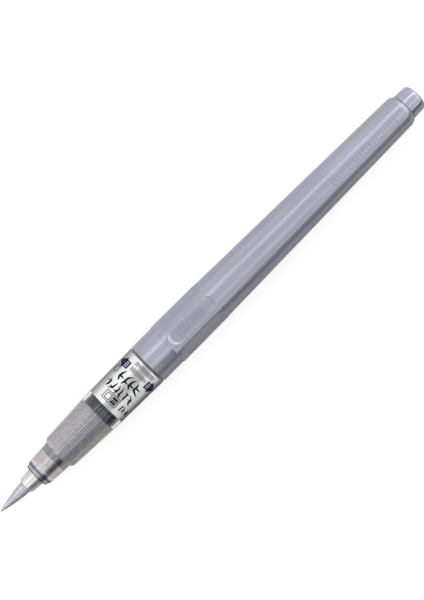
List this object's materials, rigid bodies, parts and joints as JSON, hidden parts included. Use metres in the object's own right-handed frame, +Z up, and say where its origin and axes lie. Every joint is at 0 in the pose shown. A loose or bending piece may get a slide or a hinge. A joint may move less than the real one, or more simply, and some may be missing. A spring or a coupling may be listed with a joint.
{
  "type": "calligraphy marker",
  "caption": "Uncapped brush pen: pointed hair tuft in a clear stepped section that unscrews from a long tapered barrel with a push pad, ink cartridge and mixing ball.",
  "frame": {"origin": "on the pen's axis, at the middle of the seat that the cap pushes on to", "axes": "+X along the pen from the brush point to the tail, +Z up through the push pad"},
  "size_m": [0.166, 0.0134, 0.0134],
  "materials": {
    "hair": "soft",
    "root_plastic": "matte",
    "nozzle_silver": "polished",
    "clear_plastic": "clear",
    "cream_plastic": "satin",
    "foil": "satin",
    "smoke_plastic": "translucent",
    "feed_plastic": "matte",
    "fibre": "matte",
    "dark_plastic": "satin",
    "seal_rubber": "matte",
    "pearl_plastic": "pearlescent",
    "milky_plastic": "translucent",
    "steel": "polished"
  },
  "bodies": {
    "barrel": {"barrel": "pearl_plastic", "tail_plug": "pearl_plastic"},
    "push_pad": {"push_pad": "pearl_plastic"},
    "seal_ring": {"seal_ring": "seal_rubber"},
    "front": {"front_section": "clear_plastic", "label": "foil", "nozzle": "nozzle_silver", "retainer_ring": "clear_plastic", "tuft_root": "root_plastic", "tip_holder": "cream_plastic", "feed_housing": "smoke_plastic", "comb_feed": "feed_plastic", "ink_wick": "fibre", "feed_pipe": "feed_plastic", "holder_ring": "dark_plastic"},
    "brush_tip": {"brush_tuft": "hair"},
    "cartridge": {"cartridge_tube": "milky_plastic", "cartridge_mouth": "milky_plastic", "mouth_seal": "seal_rubber"},
    "mixing_ball": {"mixing_ball": "steel"}
  },
  "joints": [
    {"name": "section_draw", "type": "slide", "parent": "barrel", "child": "seal_ring", "axis": [-1, 0, 0], "range_m": [0, 0.008]},
    {"name": "section_turn", "type": "hinge", "parent": "seal_ring", "child": "front", "pos_m": [-0.00425, 0, 0], "axis": [-1, 0, 0], "range_deg": [0, 1440]},
    {"name": "tuft_bend", "type": "hinge", "parent": "front", "child": "brush_tip", "pos_m": [-0.05345, 0, 0], "axis": [0, 1, 0], "range_deg": [-15, 15], "stiffness_Nm_per_rad": 0.002},
    {"name": "pad_press", "type": "slide", "parent": "barrel", "child": "push_pad", "axis": [0, 0, -1], "range_m": [0, 0.0008], "stiffness_N_per_m": 1500},
    {"name": "cartridge_pull", "type": "slide", "parent": "front", "child": "cartridge", "axis": [1, 0, 0], "range_m": [0, 0.007]},
    {"name": "ball_roll", "type": "slide", "parent": "cartridge", "child": "mixing_ball", "axis": [1, 0, 0], "range_m": [0, 0.072]}
  ],
  "couplings": [
    {"joint": "section_turn", "follows": "section_draw", "rad_per_m": 3141.6}
  ]
}
